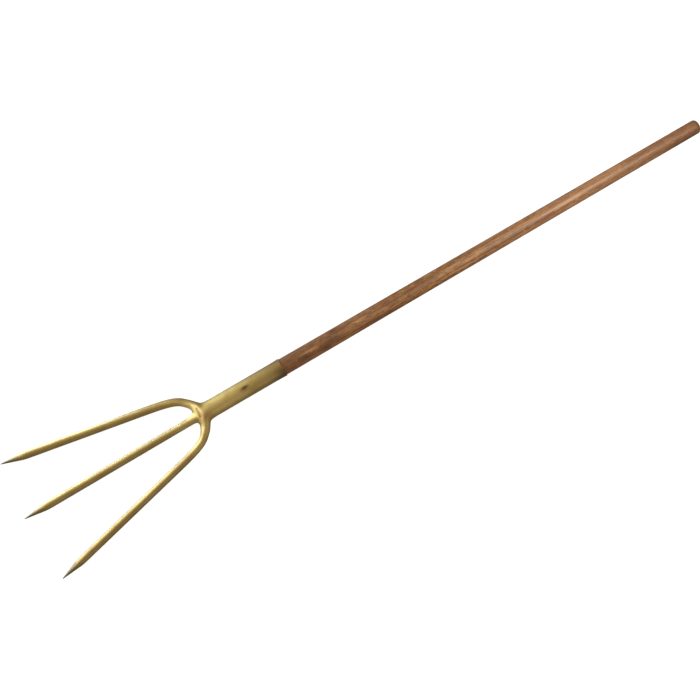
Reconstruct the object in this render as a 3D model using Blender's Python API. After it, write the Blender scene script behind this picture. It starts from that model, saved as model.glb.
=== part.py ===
"""Three-tine fork with a straight wooden handle, lying on the ground with its tines along -X.

All sizes are metres. The fork is modelled with the socket's mouth at x = 0, the handle's axis above the
X axis and the ground at z = 0. Every piece hangs on one empty, which moves the whole fork so that the
middle of its bounding box's bottom is at the origin.

The head is one steel forging on the finished tool. It is kept here as a socket, a yoke and three
tines, which meet face to face with a hair gap.
"""

import math

import bmesh
import bpy
from mathutils import Vector

# Driving dimensions
MM = 0.001
GAP = 0.3 * MM                      # between pieces that touch

HANDLE_SHOWN = 866 * MM             # length outside the socket
HANDLE_IN_SOCKET = 135 * MM
HANDLE_GRIP_RADIUS = 13.05 * MM
HANDLE_INNER_RADIUS = 14.3 * MM     # at the end that sits in the socket
HANDLE_TAPER_POWER = 1.2            # over 1, the taper is quicker next to the socket
HANDLE_TAPER_STEPS = 12
HANDLE_END_ROUND = 8 * MM
HANDLE_SIDES = 40

SOCKET_LENGTH = 152 * MM
SOCKET_RADIUS = 16.65 * MM
SOCKET_WALL = 1.2 * MM
FLARE = 0.7 * MM                    # how far the mouth opens beyond the socket's radius
FLARE_LENGTH = 27 * MM
FLARE_STEPS = 4
SOCKET_SIDES = 48

TINE_RADIUS = 7.5 * MM
POINT_LENGTH = 45 * MM
POINT_RADIUS = 0.8 * MM
TINE_SIDES = 20
STATION = 14 * MM                   # between two rings of a straight tine
BEND_STATION = 5 * MM
BEND_REACH = 55 * MM                # beyond this the bend can't be told from a straight

CENTRE_ROOT = Vector((-194, -0.9)) * MM
CENTRE_TIP = Vector((-540.5, -2.6)) * MM
LEFT_ROOT = Vector((-186, 33.7)) * MM
LEFT_SPLAY = math.radians(10.1)
LEFT_LENGTH = 351.5 * MM
RIGHT_ROOT = Vector((-184, -36.2)) * MM
RIGHT_SPLAY = math.radians(13.6)
RIGHT_LENGTH = 365 * MM
ROOT_ANGLE = math.radians(47)       # between an outer tine's root and the handle's axis
BEND_LENGTH = 16 * MM               # along a tine, for the bend to fall to 1/e of its angle

DISH_START_X = -165 * MM
DISH_LOW_X = -405 * MM              # where the tines dip lowest

NECK_X = -163 * MM                  # the yoke's section between socket and crotches
NECK_HALF_WIDTH = 20 * MM
NECK_HALF_HEIGHT = 14 * MM
CROTCH_X = -179.5 * MM              # bottom of the gap between two tines
WEB_OUTER = 18 * MM                 # the web runs from here beside an outer tine
WEB_INNER = 8.5 * MM                # to here beside the centre tine
CROTCH_HOLLOW = 2 * MM
WEB_HALF = 6.5 * MM                 # half the web's thickness
LEFT_SHOULDER = Vector((-173.5, 31)) * MM     # outermost points of the yoke where its arms start
RIGHT_SHOULDER = Vector((-170, -32)) * MM
SHOULDER_ROUND = 2 * MM
ARM_HALF_HEIGHT = 9.5 * MM

SCREW_X = -34 * MM
SCREW_RADIUS = 2.2 * MM
SCREW_HEAD_RADIUS = 4.2 * MM
SCREW_HEAD_HEIGHT = 2.2 * MM
SCREW_LENGTH = 20 * MM
SCREW_POINT = 4 * MM
SCREW_TIP_RADIUS = 0.3 * MM
SCREW_SIDES = 24

AXIS_HEIGHT = SOCKET_RADIUS + FLARE    # the socket's mouth touches the ground
DISH_DEPTH = AXIS_HEIGHT - TINE_RADIUS
COLUMNS = 9                            # points across the yoke's top: three for each of its arms
OCTAGON = [(math.cos(math.radians(a)), math.sin(math.radians(a))) for a in range(0, 360, 45)]
OCTAGON_GROWTH = 3 / (2 + math.cos(math.radians(45)))    # a subdivided octagon shrinks by this much


def clear_scene():
    for obj in list(bpy.data.objects):
        bpy.data.objects.remove(obj, do_unlink=True)


def make_material(name, colour, roughness, metallic):
    """A Principled material from a linear colour."""
    mat = bpy.data.materials.new(name)
    mat.use_nodes = True
    shader = mat.node_tree.nodes["Principled BSDF"]
    shader.inputs["Base Color"].default_value = (*colour, 1.0)
    shader.inputs["Roughness"].default_value = roughness
    shader.inputs["Metallic"].default_value = metallic
    mat.diffuse_color = (*colour, 1.0)
    return mat


def add_object(name, bm, mat, parent):
    """Turn a bmesh into a smooth-shaded object with its faces out, hung on its parent."""
    bmesh.ops.recalc_face_normals(bm, faces=bm.faces)
    mesh = bpy.data.meshes.new(name)
    bm.to_mesh(mesh)
    bm.free()
    mesh.shade_smooth()
    mesh.set_sharp_from_angle(angle=math.radians(35))
    mesh.materials.append(mat)
    obj = bpy.data.objects.new(name, mesh)
    obj.parent = parent
    bpy.context.scene.collection.objects.link(obj)
    return obj


def turn(profile, sides, axis, closed=False):
    """Spin an outline of (along, radius) points around an axis through the origin."""
    along = Vector(axis)
    out = Vector((0, 0, 1)) if along.x else Vector((1, 0, 0))
    bm = bmesh.new()
    verts = [bm.verts.new(along * a + out * r) for a, r in profile]
    ends = zip(verts, verts[1:] + verts[:1]) if closed else zip(verts, verts[1:])
    edges = [bm.edges.new(pair) for pair in ends]
    bmesh.ops.spin(bm, geom=verts + edges, cent=(0, 0, 0), axis=along, angle=math.tau, steps=sides,
                   use_merge=True)
    bmesh.ops.remove_doubles(bm, verts=bm.verts, dist=0.01 * MM)
    return bm


def flare_outline(radius, x_from, x_to, steps=FLARE_STEPS):
    """Points along the socket's flare, which opens as a parabola towards the mouth at x = 0."""
    points = []
    for i in range(steps + 1):
        x = x_from + (x_to - x_from) * i / steps
        opening = (1 + x / FLARE_LENGTH) ** 2
        points.append((x, radius + FLARE * opening))
    return points


def handle_profile():
    """Outline from the handle's inner end, through the socket, to the rounded grip end."""
    in_flare = SOCKET_RADIUS - SOCKET_WALL - GAP
    mouth_radius = in_flare + FLARE
    profile = [(-HANDLE_IN_SOCKET, 0), (-HANDLE_IN_SOCKET, HANDLE_INNER_RADIUS)]
    profile += flare_outline(in_flare, -FLARE_LENGTH, 0)
    taper_end = HANDLE_SHOWN - HANDLE_END_ROUND
    for i in range(1, HANDLE_TAPER_STEPS + 1):
        left = 1 - i / HANDLE_TAPER_STEPS
        radius = HANDLE_GRIP_RADIUS + (mouth_radius - HANDLE_GRIP_RADIUS) * left ** HANDLE_TAPER_POWER
        profile.append((taper_end * (1 - left), radius))
    for degrees in range(15, 91, 15):
        angle = math.radians(degrees)
        profile.append((taper_end + HANDLE_END_ROUND * math.sin(angle),
                        HANDLE_GRIP_RADIUS - HANDLE_END_ROUND * (1 - math.cos(angle))))
    profile.append((HANDLE_SHOWN, 0))
    return profile


def make_handle(mat, parent):
    obj = add_object("handle", turn(handle_profile(), HANDLE_SIDES, (1, 0, 0)), mat, parent)
    obj.location.z = AXIS_HEIGHT
    return obj


def make_socket(mat, parent):
    """Open tube that widens over its last stretch."""
    outside = [(-SOCKET_LENGTH, SOCKET_RADIUS)] + flare_outline(SOCKET_RADIUS, -FLARE_LENGTH, 0)
    inside = flare_outline(SOCKET_RADIUS - SOCKET_WALL, 0, -FLARE_LENGTH)
    inside.append((-SOCKET_LENGTH, SOCKET_RADIUS - SOCKET_WALL))
    obj = add_object("socket", turn(outside + inside, SOCKET_SIDES, (1, 0, 0), closed=True), mat, parent)
    obj.location.z = AXIS_HEIGHT
    return obj


def screw_profile(extra):
    """Countersunk screw from its head's flat face up to its point, grown by extra on every side."""
    head = SCREW_HEAD_RADIUS + extra
    shank = SCREW_RADIUS + extra
    return [(-extra, 0), (-extra, head), (SCREW_HEAD_HEIGHT + extra, shank),
            (SCREW_LENGTH - SCREW_POINT, shank), (SCREW_LENGTH + extra, SCREW_TIP_RADIUS),
            (SCREW_LENGTH + extra, 0)]


def make_screw(mat, parent, wood, tube):
    """The screw under the socket that holds the handle, and its countersunk hole in both."""
    screw = add_object("socket_screw", turn(screw_profile(0), SCREW_SIDES, (0, 0, 1)), mat, parent)
    cutter = add_object("screw_cutter", turn(screw_profile(GAP), SCREW_SIDES, (0, 0, 1)), mat, parent)
    for obj in (screw, cutter):
        obj.location = (SCREW_X, 0, AXIS_HEIGHT - SOCKET_RADIUS)
    cutter.hide_render = True
    cutter.display_type = "WIRE"
    for obj in (wood, tube):
        cut = obj.modifiers.new("screw_hole", "BOOLEAN")
        cut.operation = "DIFFERENCE"
        cut.solver = "EXACT"
        cut.object = cutter
    return screw


def dish_height(x):
    """Height of a tine's centre line: it dips from the handle's axis and lifts again to the tip."""
    if x > DISH_START_X:
        return AXIS_HEIGHT
    along = (x - DISH_LOW_X) / (DISH_START_X - DISH_LOW_X)
    return AXIS_HEIGHT - DISH_DEPTH * (1 - along ** 2)


def raised(point):
    return Vector((point.x, point.y, dish_height(point.x)))


def spaced(start, end, step):
    count = max(1, round((end - start).length / step))
    return [start.lerp(end, i / count) for i in range(count + 1)]


def straight_stations(root, tip):
    """Ring centres down a straight tine, with one where its point begins."""
    shoulder = tip + (root - tip).normalized() * POINT_LENGTH
    return spaced(root, shoulder, STATION) + spaced(shoulder, tip, STATION)[1:]


def outer_stations(root, splay, length, side):
    """Ring centres of an outer tine, whose angle to the handle decays from its root to its splay.

    side is +1 for the tine at +Y and -1 for the one at -Y."""
    stations = [root]
    travelled = 0
    while travelled < BEND_REACH:
        angle = splay + (ROOT_ANGLE - splay) * math.exp(-(travelled + BEND_STATION / 2) / BEND_LENGTH)
        ahead = Vector((-math.cos(angle), side * math.sin(angle)))
        stations.append(stations[-1] + ahead * BEND_STATION)
        travelled += BEND_STATION
    tip = stations[-1] + Vector((-math.cos(splay), side * math.sin(splay))) * (length - travelled)
    return stations[:-1] + straight_stations(stations[-1], tip)


def ring_frame(stations, i):
    """Centre, sideways and upward directions of a tine's ring, square to its centre line."""
    points = [raised(p) for p in stations]
    ahead = points[min(i + 1, len(points) - 1)]
    behind = points[max(i - 1, 0)]
    forward = (ahead - behind).normalized()
    sideways = Vector((0, 0, 1)).cross(forward).normalized()
    return points[i], sideways, forward.cross(sideways)


def tine_radius(distance_to_tip):
    taper = min(1.0, distance_to_tip / POINT_LENGTH)
    return POINT_RADIUS + (TINE_RADIUS - POINT_RADIUS) * taper


def make_tine(name, stations, mat, parent):
    """Round rod swept down its centre line, drawn out to a point."""
    bm = bmesh.new()
    rings = []
    for i in range(len(stations)):
        centre, sideways, up = ring_frame(stations, i)
        radius = tine_radius((stations[i] - stations[-1]).length)
        ring = []
        for k in range(TINE_SIDES):
            angle = math.tau * k / TINE_SIDES
            ring.append(bm.verts.new(centre + radius * (math.cos(angle) * sideways + math.sin(angle) * up)))
        rings.append(ring)
    for near, far in zip(rings, rings[1:]):
        for k in range(TINE_SIDES):
            after = (k + 1) % TINE_SIDES
            bm.faces.new((near[k], near[after], far[after], far[k]))
    bm.faces.new(rings[0])
    bm.faces.new(rings[-1])
    return add_object(name, bm, mat, parent)


def arm_end(bm, stations):
    """The eight points where one of the yoke's arms meets its tine, a gap behind the tine's face.

    They start at the arm's +Y side and go over the top."""
    centre, sideways, up = ring_frame(stations, 0)
    side = -sideways
    back = up.cross(sideways)
    return [bm.verts.new(centre + back * GAP + TINE_RADIUS * OCTAGON_GROWTH * (c * side + s * up))
            for c, s in OCTAGON]


def hoop(bm, x, half_width, half_height):
    """A ring of the yoke around the handle's axis, from its +Y side over the top."""
    count = 2 * COLUMNS + 2
    ring = []
    for k in range(count):
        angle = math.tau * k / count
        ring.append(bm.verts.new((x, half_width * math.cos(angle),
                                  AXIS_HEIGHT + half_height * math.sin(angle))))
    return ring


def crotch_ring(bm):
    """The yoke's widest ring, where its three arms start, in the same order as a hoop."""
    z = dish_height(CROTCH_X)
    halves = []
    for shoulder, side in ((LEFT_SHOULDER, 1), (RIGHT_SHOULDER, -1)):
        web_out = Vector((CROTCH_X, side * WEB_OUTER))
        web_in = Vector((CROTCH_X, side * WEB_INNER))
        middle = (shoulder + web_out) / 2
        halves.append([(*shoulder, WEB_HALF), (*middle, ARM_HALF_HEIGHT), (*web_out, WEB_HALF),
                       (*web_in, WEB_HALF)])
    top = halves[0] + [(CROTCH_X, 0, ARM_HALF_HEIGHT)] + halves[1][::-1]
    points = [(LEFT_SHOULDER.x, LEFT_SHOULDER.y + SHOULDER_ROUND, z)]
    points += [(x, y, z + h) for x, y, h in top]
    points += [(RIGHT_SHOULDER.x, RIGHT_SHOULDER.y - SHOULDER_ROUND, z)]
    points += [(x, y, z - h) for x, y, h in reversed(top)]
    return [bm.verts.new(p) for p in points]


def bridge(bm, near, far):
    for k in range(len(near)):
        after = (k + 1) % len(near)
        bm.faces.new((near[k], near[after], far[after], far[k]))


def make_yoke(tines, mat, parent):
    """Forged block that spreads from the socket's round end into three arms with webs between."""
    bm = bmesh.new()
    back = hoop(bm, -SOCKET_LENGTH - GAP, SOCKET_RADIUS, SOCKET_RADIUS)
    neck = hoop(bm, NECK_X, NECK_HALF_WIDTH, NECK_HALF_HEIGHT)
    wide = crotch_ring(bm)
    bridge(bm, back, neck)
    bridge(bm, neck, wide)
    flat_faces = [bm.faces.new(back)]

    z = dish_height(CROTCH_X)
    inner = [bm.verts.new((CROTCH_X - CROTCH_HOLLOW, y, z))
             for y in (WEB_OUTER, WEB_INNER, -WEB_INNER, -WEB_OUTER)]
    last = len(wide)
    arms = []
    for arm in range(3):
        top = wide[1 + 3 * arm:4 + 3 * arm]
        bottom = wide[last - 3 - 3 * arm:last - 3 * arm]
        left = wide[0] if arm == 0 else inner[2 * arm - 1]
        right = wide[COLUMNS + 1] if arm == 2 else inner[2 * arm]
        arms.append([left] + top + [right] + bottom)
    for arm, stations in zip(arms, tines):
        end = arm_end(bm, stations)
        bridge(bm, arm, end)
        flat_faces.append(bm.faces.new(end))
    for arm in (0, 1):
        this, other = arms[arm], arms[arm + 1]
        bm.faces.new((this[3], other[1], other[0], this[4]))
        bm.faces.new((this[4], other[0], other[7], this[5]))

    crease = bm.edges.layers.float.new("crease_edge")
    for face in flat_faces:
        for edge in face.edges:
            edge[crease] = 1.0
    obj = add_object("yoke", bm, mat, parent)
    rounding = obj.modifiers.new("forged", "SUBSURF")
    rounding.levels = 2
    rounding.render_levels = 2
    return obj


def stand_on_origin(frame, pieces):
    """Move the empty so that the middle of the fork's bounding box's bottom is at the origin."""
    bpy.context.view_layer.update()
    graph = bpy.context.evaluated_depsgraph_get()
    points = []
    for piece in pieces:
        shown = piece.evaluated_get(graph)
        points += [shown.matrix_world @ v.co for v in shown.data.vertices]
    low = [min(p[i] for p in points) for i in range(3)]
    high = [max(p[i] for p in points) for i in range(3)]
    frame.location = (-(low[0] + high[0]) / 2, -(low[1] + high[1]) / 2, -low[2])


def main():
    clear_scene()
    steel = make_material("gold_lacquered_steel", (0.42, 0.30, 0.10), 0.35, 0.9)
    wood = make_material("stained_ash", (0.24, 0.11, 0.05), 0.5, 0.0)
    zinc = make_material("zinc_plated_screw", (0.55, 0.55, 0.52), 0.4, 1.0)

    frame = bpy.data.objects.new("fork_frame", None)
    bpy.context.scene.collection.objects.link(frame)

    left = outer_stations(LEFT_ROOT, LEFT_SPLAY, LEFT_LENGTH, 1)
    centre = straight_stations(CENTRE_ROOT, CENTRE_TIP)
    right = outer_stations(RIGHT_ROOT, RIGHT_SPLAY, RIGHT_LENGTH, -1)
    handle = make_handle(wood, frame)
    socket = make_socket(steel, frame)
    pieces = [
        handle,
        socket,
        make_screw(zinc, frame, handle, socket),
        make_yoke((left, centre, right), steel, frame),
        make_tine("tine_left", left, steel, frame),
        make_tine("tine_center", centre, steel, frame),
        make_tine("tine_right", right, steel, frame),
    ]
    stand_on_origin(frame, pieces)


main()
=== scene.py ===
# %% [markdown]
# # A three-tine fork
# A fork like this is three things: a turned wooden handle, a forged steel head and one screw. The CAD frame
# already holds their places and sizes. This lesson gives them their final shapes and finishes, and never
# moves what the frame fixed. It starts by opening the frame.

# %% Open the frame
import math

import bmesh
import bpy
from mathutils import Matrix, Vector


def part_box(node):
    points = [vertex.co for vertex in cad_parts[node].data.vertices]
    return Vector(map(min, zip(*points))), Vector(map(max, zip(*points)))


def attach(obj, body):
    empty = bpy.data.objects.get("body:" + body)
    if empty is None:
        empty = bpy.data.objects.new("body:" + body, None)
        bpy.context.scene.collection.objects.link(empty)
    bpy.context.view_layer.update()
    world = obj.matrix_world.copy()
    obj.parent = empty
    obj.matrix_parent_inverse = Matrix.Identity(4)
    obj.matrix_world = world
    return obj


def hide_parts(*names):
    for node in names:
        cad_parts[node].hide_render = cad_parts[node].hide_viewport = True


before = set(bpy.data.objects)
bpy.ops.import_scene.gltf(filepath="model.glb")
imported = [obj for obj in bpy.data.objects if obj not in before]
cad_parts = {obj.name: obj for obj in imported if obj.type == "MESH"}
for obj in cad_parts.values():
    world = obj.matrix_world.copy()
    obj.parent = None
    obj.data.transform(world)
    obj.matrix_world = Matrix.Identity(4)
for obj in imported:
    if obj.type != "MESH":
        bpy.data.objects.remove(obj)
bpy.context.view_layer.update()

MM = 0.001

# %% [markdown]
# ## Where things are
# Everything is measured from the mouth of the socket, where the steel ends and the wood comes out. The
# frame's own boxes give that point, the height of the handle's axis and the handle's two ends, so nothing
# here has to be moved by hand when the frame changes.

# %% Places from the frame
socket_low, socket_high = (Vector(c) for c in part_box("socket"))
handle_low, handle_high = (Vector(c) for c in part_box("handle"))
AXIS_HEIGHT = (socket_low.z + socket_high.z) / 2
MOUTH = Vector((socket_high.x, (socket_low.y + socket_high.y) / 2, 0))
MOUTH_RADIUS = (socket_high.z - socket_low.z) / 2
SHOWN_LENGTH = handle_high.x - MOUTH.x
HIDDEN_LENGTH = MOUTH.x - handle_low.x
print("handle shown", round(SHOWN_LENGTH / MM), "mm, hidden", round(HIDDEN_LENGTH / MM), "mm")

# %% [markdown]
# ## Helpers for meshes
# A finished piece has to sit at the world's origin with its place in its mesh. So each piece is modelled
# around the socket's mouth, and `place` moves its points and links it. `bake` turns a piece with modifiers
# into the plain mesh that they make, and `cut` takes one closed mesh out of another. `ring`, `bridge` and
# `close` build a round shape the way a basket maker does: hoop by hoop, and closed at the end.

# %% Place, bake and cut
CUT_EDGE = 32


def place(name, bm):
    """Make an object of a bmesh that was modelled around the socket's mouth."""
    bmesh.ops.recalc_face_normals(bm, faces=bm.faces)
    bmesh.ops.translate(bm, verts=bm.verts, vec=MOUTH)
    mesh = bpy.data.meshes.new(name)
    bm.to_mesh(mesh)
    bm.free()
    mesh.shade_smooth()
    obj = bpy.data.objects.new(name, mesh)
    bpy.context.scene.collection.objects.link(obj)
    return obj


def bake(obj, sharp_angle=None):
    """Replace an object's mesh with the one its modifiers make, and drop the modifiers."""
    graph = bpy.context.evaluated_depsgraph_get()
    mesh = bpy.data.meshes.new_from_object(obj.evaluated_get(graph))
    obj.modifiers.clear()
    obj.data = mesh
    mesh.shade_smooth()
    if sharp_angle:
        mesh.set_sharp_from_angle(angle=math.radians(sharp_angle))
    mesh.calc_loop_triangles()
    print(obj.name, len(mesh.loop_triangles), "triangles")


def cut(target, cutter, name):
    """Cut one closed mesh out of another."""
    step = target.modifiers.new(name, "BOOLEAN")
    step.operation = "DIFFERENCE"
    step.solver = "EXACT"
    step.object = cutter
    bake(target, sharp_angle=CUT_EDGE)
    bpy.data.objects.remove(cutter)


# %% Ring, bridge and close
def ring(bm, centre, across, up, count):
    """Points around a centre, from the end of `across` over the end of `up`."""
    turn = math.tau / count
    return [bm.verts.new(centre + across * math.cos(k * turn) + up * math.sin(k * turn))
            for k in range(count)]


def bridge(bm, near, far):
    """Join two rings of the same count with four-sided faces."""
    for k in range(len(near)):
        after = (k + 1) % len(near)
        bm.faces.new((near[k], near[after], far[after], far[k]))


def close(bm, last, point):
    """Close a ring with triangles that meet in one point."""
    pole = bm.verts.new(point)
    for k in range(len(last)):
        bm.faces.new((last[k], last[(k + 1) % len(last)], pole))


# %% [markdown]
# ## The head's centre lines
# The smith draws three rods out of the yoke. The middle one is straight. The outer two leave the neck at a
# wide angle and bend forward, quickly at first and then ever more gently, which is what a rod does when it
# is bent around the horn of an anvil. An angle that decays exponentially along the rod gives just that
# curve. Seen from the side, all three dip and lift again, so that the fork scoops: a parabola gives that
# dish.

# %% Sizes of the tines
TINE_RADIUS = 7.5 * MM
POINT_LENGTH = 45 * MM
POINT_RADIUS = 0.8 * MM
STATION = 16 * MM
POINT_STATION = 7.5 * MM
BEND_STATION = 6 * MM
BEND_REACH = 60 * MM
BEND_DECAY = 16 * MM
ROOT_ANGLE = math.radians(47)
LEFT = {"root": Vector((-186, 33.7)) * MM, "splay": math.radians(10.1),
        "length": 351.5 * MM, "side": 1}
RIGHT = {"root": Vector((-184, -36.2)) * MM, "splay": math.radians(13.6),
         "length": 365 * MM, "side": -1}
CENTRE_ROOT = Vector((-194, -0.9)) * MM
CENTRE_TIP = Vector((-540.5, -2.6)) * MM
DISH_START_X = -165 * MM
DISH_LOW_X = -405 * MM
print("tines are", round(2 * TINE_RADIUS / MM), "mm thick, their points", round(POINT_LENGTH / MM), "mm long")


# %% Centre lines
def dish_height(x):
    """Height of a tine's centre line above the ground."""
    if x > DISH_START_X:
        return AXIS_HEIGHT
    along = (x - DISH_LOW_X) / (DISH_START_X - DISH_LOW_X)
    return AXIS_HEIGHT - (AXIS_HEIGHT - TINE_RADIUS) * (1 - along ** 2)


def spaced(start, end, step):
    """Points about a step apart on a straight line."""
    count = max(1, round((end - start).length / step))
    return [start.lerp(end, i / count) for i in range(count + 1)]


def straight_line(root, tip):
    """Stations of a straight rod, closer together along its point."""
    shoulder = tip + (root - tip).normalized() * POINT_LENGTH
    return spaced(root, shoulder, STATION) + spaced(shoulder, tip, POINT_STATION)[1:]


def bent_line(root, splay, length, side):
    """Stations of an outer tine, whose angle to the handle decays to its splay."""
    stations = [root]
    travelled = 0
    while travelled < BEND_REACH:
        angle = splay + (ROOT_ANGLE - splay) * math.exp(-(travelled + BEND_STATION / 2) / BEND_DECAY)
        stations.append(stations[-1] + BEND_STATION * Vector((-math.cos(angle), side * math.sin(angle))))
        travelled += BEND_STATION
    ahead = Vector((-math.cos(splay), side * math.sin(splay)))
    return stations[:-1] + straight_line(stations[-1], stations[-1] + ahead * (length - travelled))


tine_lines = [bent_line(**LEFT), straight_line(CENTRE_ROOT, CENTRE_TIP), bent_line(**RIGHT)]
print("tips in mm from the mouth", [[round(c / MM) for c in line[-1]] for line in tine_lines])

# %% [markdown]
# ## The forged head
# On the real fork the socket, the neck, the webs and the tines are one piece of steel, and hot steel flows
# in soft curves from one into the next. Subdivision surfaces do that well: a coarse cage of four-sided
# faces is built ring by ring, and Blender rounds it. A cage shrinks when it is rounded, by an amount that
# depends on how many points a ring has, so each ring is made that much larger. The socket's rings have
# twenty points: nine across the top, nine below and one at each side. At the webs the nine become three for
# each tine, and each tine goes on with eight.

# %% The socket's rings
HOOP = 20
COLUMNS = 9
HOOP_GROWTH = 3 / (2 + math.cos(math.tau / HOOP))
SOCKET_RADIUS = 16.65 * MM
WALL = 1.2 * MM
FLARE_LENGTH = 27 * MM
FLARE = MOUTH_RADIUS - SOCKET_RADIUS
BORE_END = -146 * MM
BORE_STATIONS = (-145, -140, -90, -50, -27, -14, -4, -0.4)
SKIN_STATIONS = (0, -0.4, -4, -10, -18, -27, -45, -80, -115, -140, -150)


def socket_radius(x):
    """The socket's outer radius: it opens as a parabola over its last stretch."""
    return SOCKET_RADIUS + FLARE * max(0, 1 + x / FLARE_LENGTH) ** 2


def hoop(bm, x, half_width, half_height):
    """A ring of the socket or the neck, made larger by what the rounding takes off."""
    across = Vector((0, half_width * HOOP_GROWTH, 0))
    up = Vector((0, 0, half_height * HOOP_GROWTH))
    return ring(bm, Vector((x, 0, AXIS_HEIGHT)), across, up, HOOP)


def round_hoop(bm, x, wall=0):
    """A ring of the socket, on its skin or a wall's thickness inside it."""
    radius = socket_radius(x) - wall
    return hoop(bm, x, radius, radius)


def tube_hoops(bm):
    """The socket from the floor of its bore, out through the mouth and back to the neck."""
    bore = [round_hoop(bm, x * MM, WALL) for x in BORE_STATIONS]
    skin = [round_hoop(bm, x * MM) for x in SKIN_STATIONS]
    lip = round_hoop(bm, 0, WALL)
    return bore + [lip] + skin


print("a ring of", HOOP, "points is made", round(100 * (HOOP_GROWTH - 1), 1), "per cent larger")

# %% [markdown]
# The neck and the webs are where the shape is. The outer two tines are one rod, bent to a U and forge
# welded across the end of the socket, so there is a faint valley where the round neck meets the rod, and a
# low rounded bank between the crotches. Each row below gives how far a ring has moved from the round neck
# to the crotch, and its half thickness in millimetres, from the outer shoulder to the middle.

# %% The yoke's rings
NECK_X = -160 * MM
NECK_HALF_WIDTH = 17.9 * MM
NECK_HALF_HEIGHT = 16.2 * MM
LEFT_SHOULDER = Vector((-174.5, 32)) * MM
RIGHT_SHOULDER = Vector((-171, -33)) * MM
SHOULDER_ROUND = 2 * MM
CROTCH_X = -179.5 * MM
WEB_OUTER = 18 * MM
WEB_INNER = 8.5 * MM
YOKE_RINGS = [
    (0.28, (7.5, 11.4, 13.4, 14.8, 15.2)),
    (0.46, (7.5, 11.0, 11.9, 12.9, 13.2)),
    (0.62, (7.0, 10.4, 10.2, 10.7, 11.3)),
    (0.80, (6.4, 9.8, 8.6, 9.2, 10.4)),
    (1.00, (5.6, 9.0, 4.6, 4.6, 8.6)),
]


def crotch_columns():
    """Places of the nine columns, and of the two rims, where the three arms start."""
    halves = []
    for shoulder, side in ((LEFT_SHOULDER, 1), (RIGHT_SHOULDER, -1)):
        rim = shoulder + Vector((0, side * SHOULDER_ROUND))
        web_out = Vector((CROTCH_X, side * WEB_OUTER))
        web_in = Vector((CROTCH_X, side * WEB_INNER))
        halves.append([rim, shoulder, (shoulder + web_out) / 2, web_out, web_in])
    return halves[0] + [Vector((CROTCH_X, 0))] + halves[1][::-1]


def yoke_ring(bm, share, heights):
    """A ring part of the way from the neck's ring to the crotch."""
    angles = [k * math.tau / HOOP for k in range(COLUMNS + 2)]
    start = [Vector((NECK_X, NECK_HALF_WIDTH * math.cos(a) * HOOP_GROWTH)) for a in angles]
    places = [a.lerp(b, share) for a, b in zip(start, crotch_columns())]
    half = list(heights) + list(heights)[-2::-1]
    top = [(*p, AXIS_HEIGHT + h * MM) for p, h in zip(places[1:-1], half)]
    bottom = [(*p, AXIS_HEIGHT - h * MM) for p, h in zip(places[1:-1], half)]
    points = [(*places[0], AXIS_HEIGHT)] + top + [(*places[-1], AXIS_HEIGHT)] + bottom[::-1]
    return [bm.verts.new(p) for p in points]


print("the yoke has", len(YOKE_RINGS), "rings of", HOOP, "points")

# %% [markdown]
# Each tine starts from eight points of the widest ring: three on top, three below, and one on each side.
# Where two tines are neighbours, the points between them lie a little deeper, which makes the crotch
# hollow.

# %% The tines
ROD_POINTS = 8
TINE_GROWTH = 3 / (2 + math.cos(math.tau / ROD_POINTS))
CROTCH_HOLLOW = 2 * MM


def arm_loops(bm, wide):
    """Split the widest ring into the eight points of each tine's root, and close the webs between."""
    inner = [bm.verts.new((CROTCH_X - CROTCH_HOLLOW, y, AXIS_HEIGHT))
             for y in (WEB_OUTER, WEB_INNER, -WEB_INNER, -WEB_OUTER)]
    loops = []
    for arm in range(3):
        top = wide[1 + 3 * arm:4 + 3 * arm]
        bottom = wide[HOOP - 3 - 3 * arm:HOOP - 3 * arm]
        left = wide[0] if arm == 0 else inner[2 * arm - 1]
        right = wide[COLUMNS + 1] if arm == 2 else inner[2 * arm]
        loops.append([left] + top + [right] + bottom)
    for this, other in zip(loops, loops[1:]):
        bm.faces.new((this[3], other[1], other[0], this[4]))
        bm.faces.new((this[4], other[0], other[7], this[5]))
    return loops


def frame_at(stations, i):
    """Centre, sideways (to +Y) and upward directions of a tine's cross section."""
    points = [Vector((p.x, p.y, dish_height(p.x))) for p in stations]
    ahead = points[min(i + 1, len(points) - 1)] - points[max(i - 1, 0)]
    side = ahead.cross(Vector((0, 0, 1))).normalized()
    return points[i], side, side.cross(ahead).normalized()


def tine_radius(distance_to_tip):
    """A tine's radius: full, and tapering evenly over its point."""
    taper = min(1, distance_to_tip / POINT_LENGTH)
    return POINT_RADIUS + (TINE_RADIUS - POINT_RADIUS) * taper


def draw_out(bm, loop, line):
    """Carry a root on along its centre line and close it in a point."""
    lengths = [0]
    for a, b in zip(line, line[1:]):
        lengths.append(lengths[-1] + (b - a).length)
    for i in range(len(line)):
        centre, side, up = frame_at(line, i)
        radius = tine_radius(lengths[-1] - lengths[i]) * TINE_GROWTH
        section = ring(bm, centre, side * radius, up * radius, ROD_POINTS)
        bridge(bm, loop, section)
        loop = section
    close(bm, loop, centre)


# %% Forge the head
def head_cage():
    """The whole head as a coarse cage: bore, lip, skin, neck, yoke and three tines."""
    bm = bmesh.new()
    hoops = tube_hoops(bm)
    close(bm, hoops[0], Vector((BORE_END, 0, AXIS_HEIGHT)))
    hoops.append(hoop(bm, NECK_X, NECK_HALF_WIDTH, NECK_HALF_HEIGHT))
    hoops += [yoke_ring(bm, *row) for row in YOKE_RINGS]
    for near, far in zip(hoops, hoops[1:]):
        bridge(bm, near, far)
    for loop, line in zip(arm_loops(bm, hoops[-1]), tine_lines):
        draw_out(bm, loop, line)
    return bm


head = place("forged_head", head_cage())
rounding = head.modifiers.new("hot steel", "SUBSURF")
rounding.levels = 3
rounding.render_levels = 3
bake(head)

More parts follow.
